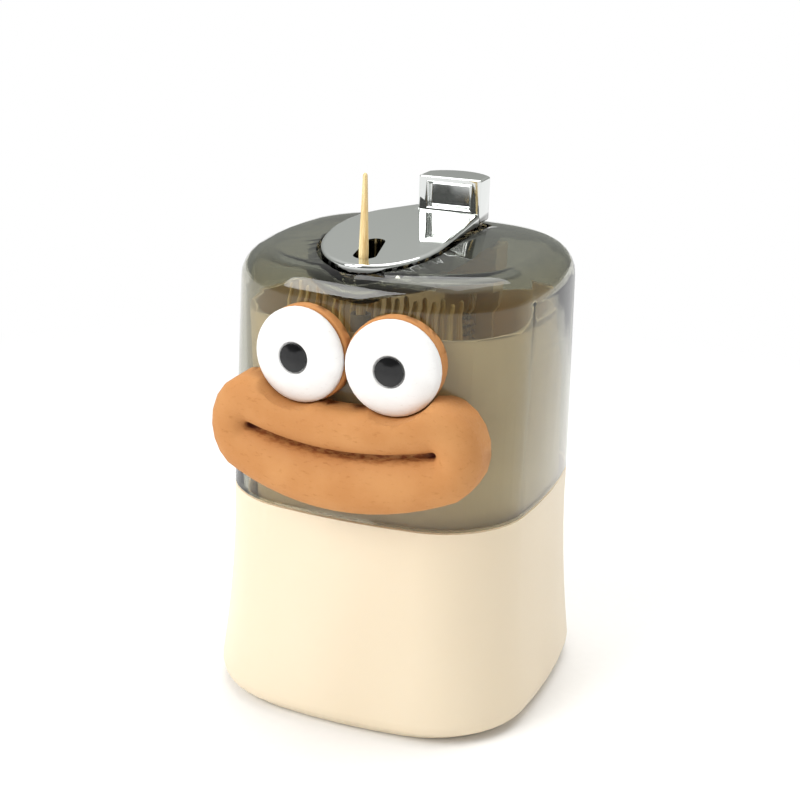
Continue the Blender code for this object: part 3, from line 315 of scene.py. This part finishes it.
def wood():
    """Pale wood with long fibres and a few darker streaks."""
    m = Nodes("pale_wood")
    fibre = m.noise(0.5 * MM, 5.0, 0.65, m.stretched((1.0, 1.0, 0.035)))
    streak = m.noise(1.3 * MM, 3.0, 0.5, m.stretched((1.0, 1.0, 0.03)))
    tone = m.noise(5 * MM, 1.0, place=m.stretched((1.0, 1.0, 0.02)))
    colour = m.mix(m.span(fibre, 0.35, 0.65), srgb(243, 222, 165), srgb(212, 170, 100))
    colour = m.mix(m.math("MULTIPLY", m.span(streak, 0.56, 0.70), 0.75), colour, srgb(171, 116, 52))
    colour = m.mix(m.span(tone, 0.35, 0.65, 0.0, 0.3), colour, srgb(246, 232, 190))
    m.set(Base_Color=colour, Roughness=m.span(fibre, 0.3, 0.7, 0.6, 0.8),
          Normal=m.bump(fibre, 0.06 * MM, 0.6))
    return m.material


def brown_resin(name):
    """Matte orange-brown resin with a sandy, streaked surface, and painted shade darkening the smile groove
    and its ends.
    """
    m = Nodes(name)
    sand = m.noise(0.45 * MM, 4.0, 0.6)
    brush = m.noise(0.8 * MM, 4.0, 0.6, m.stretched((0.45, 1.0, 1.0), (0.0, 0.35, 0.0)))
    cloud = m.noise(11 * MM, 3.0)
    x, y, z = m.axes()
    across = m.math("DIVIDE", m.math("SUBTRACT", x, SMILE_X), SMILE_HALF)
    square = m.math("MULTIPLY", across, across)
    line = m.math("MULTIPLY_ADD", square, SMILE_RISE, SMILE_Z)
    off = m.math("ABSOLUTE", m.math("SUBTRACT", z, line))
    depth = m.math("MULTIPLY_ADD", square, -SMILE_BACK, y)
    out = m.math("ABSOLUTE", across)
    within = m.span(out, *WITHIN_SHARES)
    # Painted shade along the groove of the smile line
    groove_shade = m.math("MULTIPLY", m.span(depth, *GROOVE_SHADE_Y), m.span(off, *GROOVE_SHADE_OFF))
    groove_shade = m.math("MULTIPLY", groove_shade, within)
    # Darker painted shade at the groove's ends
    ends_shade = m.math("MULTIPLY", m.span(out, *ENDS_SHADE_SHARES), m.span(off, *ENDS_SHADE_OFF))
    ends_shade = m.math("MULTIPLY", ends_shade, m.math("MULTIPLY", within, m.span(depth, *ENDS_SHADE_Y)))
    colour = m.mix(m.span(cloud, 0.35, 0.65), srgb(198, 141, 86), srgb(190, 131, 76))
    colour = m.mix(m.span(brush, 0.56, 0.74, 0.0, 0.45), colour, srgb(163, 103, 50))
    # Painted shade colours for the groove and, darker, its ends
    colour = m.mix(m.math("MULTIPLY", groove_shade, m.span(brush, 0.40, 0.62, 0.25, 0.9)), colour, srgb(126, 66, 26))
    colour = m.mix(ends_shade, colour, srgb(84, 28, 8))
    m.set(Base_Color=colour, Roughness=m.span(sand, 0.3, 0.7, 0.62, 0.80),
          Normal=m.bump(sand, 0.09 * MM, 0.5, m.bump(brush, 0.12 * MM, 0.5)), Specular_IOR_Level=0.3)
    return m.material


def white_resin():
    """Matte white with brushed marks, like sanded foam clay."""
    m = Nodes("white_matte_resin")
    brush = m.noise(0.5 * MM, 4.0, 0.65, m.stretched((0.4, 1.0, 1.0), (0.0, 0.6, 0.0)))
    sand = m.noise(0.3 * MM, 3.0, 0.6)
    cloud = m.noise(8 * MM, 2.0)
    colour = m.mix(m.span(cloud, 0.35, 0.65), srgb(240, 240, 239), srgb(233, 232, 230))
    colour = m.mix(m.span(brush, 0.58, 0.75, 0.0, 0.35), colour, srgb(208, 204, 199))
    m.set(Base_Color=colour, Roughness=m.span(sand, 0.3, 0.7, 0.6, 0.78),
          Normal=m.bump(sand, 0.05 * MM, 0.45, m.bump(brush, 0.10 * MM, 0.5)), Specular_IOR_Level=0.3)
    return m.material


def black_resin():
    """Glossy black with faint dimples."""
    m = Nodes("black_gloss_resin")
    dimple = m.noise(1.2 * MM, 2.0)
    m.set(Base_Color=m.mix(dimple, (0.004, 0.004, 0.004), (0.010, 0.010, 0.011)),
          Roughness=m.span(dimple, 0.3, 0.7, 0.08, 0.16), Normal=m.bump(dimple, 0.02 * MM, 0.3))
    return m.material


def dress():
    """Gives every CAD node its finished material."""
    cream = moulded_plastic("cream_plastic", srgb(232, 217, 191), srgb(226, 210, 183), 0.36)
    tub_cream = moulded_plastic("tub_cream_plastic", srgb(238, 221, 188), srgb(230, 210, 172), 0.45)
    bracket = moulded_plastic("bracket_cream_plastic", srgb(236, 216, 178), srgb(224, 202, 160), 0.45)
    grey = moulded_plastic("grey_plastic", srgb(150, 138, 118), srgb(128, 116, 98), 0.5)
    smoke = smoke_plastic()
    # The dark second colour is painted shade for the plating below the plate
    plating = chrome("chrome_plating", (0.80, 0.82, 0.80), (0.16, 0.16, 0.15))
    bright = steel("bright_steel", (0.74, 0.73, 0.70), 0.22)
    pale = steel("pale_rod_steel", (0.84, 0.79, 0.70), 0.25)
    stick = wood()
    brown = brown_resin("brown_matte_resin")
    white = white_resin()
    black = black_resin()
    looks = {"cream_plastic": cream, "tub_cream_plastic": tub_cream, "bracket_cream_plastic": bracket,
             "grey_plastic": grey, "smoke_clear_plastic": smoke, "chrome_plating": plating,
             "bright_steel": bright, "pale_rod_steel": pale, "pale_wood": stick,
             "brown_matte_resin": brown, "white_matte_resin": white, "black_gloss_resin": black}
    for part in frame["record"]["subparts"]:
        item = NODES[part["node"]]
        if part["node"] in ROUND_NODES:
            item = rounded(part["node"])
        item.data.materials.clear()
        item.data.materials.append(looks[part["material_slot"]])


def add_world():
    """White behind the object, a soft grey surround in metal and clear plastic, even light on the rest."""
    world = bpy.data.worlds.new("studio")
    world.use_nodes = True
    bpy.context.scene.world = world
    tree = world.node_tree
    nodes = tree.nodes
    nodes.clear()
    path = nodes.new("ShaderNodeLightPath")
    place = nodes.new("ShaderNodeTexCoord")
    axes = nodes.new("ShaderNodeSeparateXYZ")
    tree.links.new(place.outputs["Generated"], axes.inputs[0])

    ramp = nodes.new("ShaderNodeValToRGB")
    height = nodes.new("ShaderNodeMapRange")
    height.inputs["From Min"].default_value = -1.0
    tree.links.new(axes.outputs["Z"], height.inputs["Value"])
    tree.links.new(height.outputs["Result"], ramp.inputs["Fac"])
    stops = ramp.color_ramp.elements
    stops.new(SURROUND[1][0])
    for stop, (position, colour) in zip(stops, SURROUND):
        stop.position = position
        stop.color = (*colour, 1.0)

    front = nodes.new("ShaderNodeMapRange")
    front.inputs["From Min"].default_value = SURROUND_FRONT[0]
    front.inputs["From Max"].default_value = SURROUND_FRONT[1]
    front.inputs["To Min"].default_value = SURROUND_FRONT_SHARE
    tree.links.new(axes.outputs["Y"], front.inputs["Value"])
    shown = nodes.new("ShaderNodeMix")
    shown.data_type = "RGBA"
    shown.blend_type = "MULTIPLY"
    shown.inputs[0].default_value = 1.0
    tree.links.new(ramp.outputs["Color"], shown.inputs[6])
    tree.links.new(front.outputs["Result"], shown.inputs[7])

    def background(colour, strength=1.0):
        node = nodes.new("ShaderNodeBackground")
        node.inputs["Color"].default_value = (*colour, 1.0)
        node.inputs["Strength"].default_value = strength
        return node

    white = (1.0, 1.0, 1.0)
    light = background(WORLD_COLOUR, WORLD_LIGHT)
    seen = background(white)
    mirrored = background(white)
    tree.links.new(shown.outputs[2], mirrored.inputs["Color"])
    inner = nodes.new("ShaderNodeMath")
    inner.operation = "MAXIMUM"
    tree.links.new(path.outputs["Is Glossy Ray"], inner.inputs[0])
    tree.links.new(path.outputs["Is Transmission Ray"], inner.inputs[1])
    first = nodes.new("ShaderNodeMixShader")
    tree.links.new(inner.outputs[0], first.inputs[0])
    tree.links.new(light.outputs[0], first.inputs[1])
    tree.links.new(mirrored.outputs[0], first.inputs[2])
    last = nodes.new("ShaderNodeMixShader")
    tree.links.new(path.outputs["Is Camera Ray"], last.inputs[0])
    tree.links.new(first.outputs[0], last.inputs[1])
    tree.links.new(seen.outputs[0], last.inputs[2])
    out = nodes.new("ShaderNodeOutputWorld")
    tree.links.new(last.outputs[0], out.inputs["Surface"])


def add_lamp(name, place, side, power):
    data = bpy.data.lights.new(name, "AREA")
    data.shape = "RECTANGLE"
    data.size = data.size_y = side
    data.energy = power
    lamp = bpy.data.objects.new(name, data)
    lamp.location = place
    lamp.rotation_euler = (Vector(LAMP_AIM) - Vector(place)).to_track_quat("-Z", "Y").to_euler()
    bpy.context.scene.collection.objects.link(lamp)


def add_floor():
    """Pale floor that keeps a soft shadow and fades into the white behind."""
    bpy.ops.mesh.primitive_circle_add(vertices=FLOOR_SIDES, radius=FLOOR_RADIUS, fill_type="NGON")
    floor = bpy.context.object
    floor.name = "floor"
    m = Nodes("pale_floor")
    x, y = m.axes()[:2]
    far = m.math("SQRT", m.math("ADD", m.math("MULTIPLY", x, x), m.math("MULTIPLY", y, y)))
    speck = m.noise(2 * MM, 2.0)
    m.set(Base_Color=m.mix(speck, (0.90, 0.90, 0.895), (0.93, 0.93, 0.925)), Roughness=0.9,
          Specular_IOR_Level=0.0)
    glow = m.tree.nodes.new("ShaderNodeEmission")
    path = m.light_path()
    inner = m.math("MAXIMUM", path["Is Glossy Ray"], path["Is Transmission Ray"])
    seen = m.math("MAXIMUM", path["Is Camera Ray"], inner)
    m.show_instead(m.math("MULTIPLY", seen, m.span(far, *FLOOR_FADE)), glow)
    floor.data.materials.append(m.material)


add_camera()
dress()
add_world()
for lamp in LAMPS:
    add_lamp(*lamp)
add_floor()
bpy.context.scene.view_settings.view_transform = "Standard"
